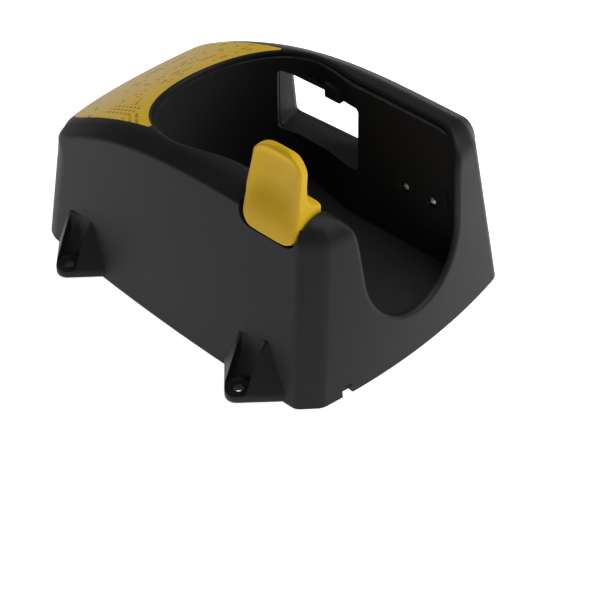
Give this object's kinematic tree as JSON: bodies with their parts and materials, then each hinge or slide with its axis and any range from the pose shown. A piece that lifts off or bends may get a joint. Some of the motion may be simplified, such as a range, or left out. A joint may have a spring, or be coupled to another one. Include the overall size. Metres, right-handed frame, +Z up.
{
  "type": "handheld barcode scanner cradle",
  "caption": "Charging and data cradle for a gun-type barcode scanner: deep well with a grip notch, sprung side contacts, thumb release lever and screw-down ears.",
  "frame": {"origin": "centre of the footprint on the surface the cradle stands on", "axes": "+X towards the contact side, -Y towards the grip notch at the front, +Z up"},
  "size_m": [0.1664, 0.2009, 0.1196],
  "materials": {
    "housing_plastic": "fine moulded grain",
    "tray_plastic": "fine moulded grain",
    "base_plastic": "moulded",
    "label_film": "printed film, satin",
    "lever_plastic": "moulded, satin",
    "contact_metal": "plated, polished",
    "spring_steel": "drawn wire",
    "screw_steel": "zinc plated",
    "pin_steel": "ground",
    "carrier_plastic": "moulded",
    "board_laminate": "solder mask",
    "shield_metal": "tinned",
    "chip_epoxy": "moulded epoxy",
    "ferrite": "sintered",
    "jack_plastic": "moulded",
    "socket_plastic": "moulded",
    "foot_rubber": "matt"
  },
  "bodies": {
    "cradle": {"top_housing": "housing_plastic", "well_tray": "tray_plastic", "base_plate": "base_plastic", "label_panel": "label_film", "lever_pin": "pin_steel", "lever_spring": "spring_steel", "lever_bracket": "carrier_plastic", "contact_carrier": "carrier_plastic", "contact_spring_1": "spring_steel", "contact_spring_2": "spring_steel", "carrier_screw_1": "screw_steel", "carrier_screw_2": "screw_steel", "main_circuit_board": "board_laminate", "radio_shield_can": "shield_metal", "processor_chip": "chip_epoxy", "charger_chip": "chip_epoxy", "power_inductor": "ferrite", "power_jack": "jack_plastic", "data_socket": "socket_plastic", "board_screw_1": "screw_steel", "housing_screw_1": "screw_steel", "rubber_foot_1": "foot_rubber", "board_screw_2": "screw_steel", "housing_screw_2": "screw_steel", "rubber_foot_2": "foot_rubber", "board_screw_3": "screw_steel", "housing_screw_3": "screw_steel", "rubber_foot_3": "foot_rubber", "board_screw_4": "screw_steel", "housing_screw_4": "screw_steel", "rubber_foot_4": "foot_rubber"},
    "lever": {"release_lever": "lever_plastic"},
    "contact_1": {"contact_pin_1": "contact_metal"},
    "contact_2": {"contact_pin_2": "contact_metal"}
  },
  "joints": [
    {"name": "lever_swing", "type": "hinge", "parent": "cradle", "child": "lever", "pos_m": [-0.047, -0.062, 0.08], "axis": [0, 1, 0], "range_deg": [0, 12], "stiffness_Nm_per_rad": 0.25, "springref_deg": -20.05, "deforming": ["lever_spring"]},
    {"name": "contact_press_1", "type": "slide", "parent": "cradle", "child": "contact_1", "axis": [1, 0, 0], "range_m": [0, 0.0018], "stiffness_N_per_m": 200, "springref_m": -0.004, "deforming": ["contact_spring_1"]},
    {"name": "contact_press_2", "type": "slide", "parent": "cradle", "child": "contact_2", "axis": [1, 0, 0], "range_m": [0, 0.0018], "stiffness_N_per_m": 200, "springref_m": -0.004, "deforming": ["contact_spring_2"]}
  ]
}
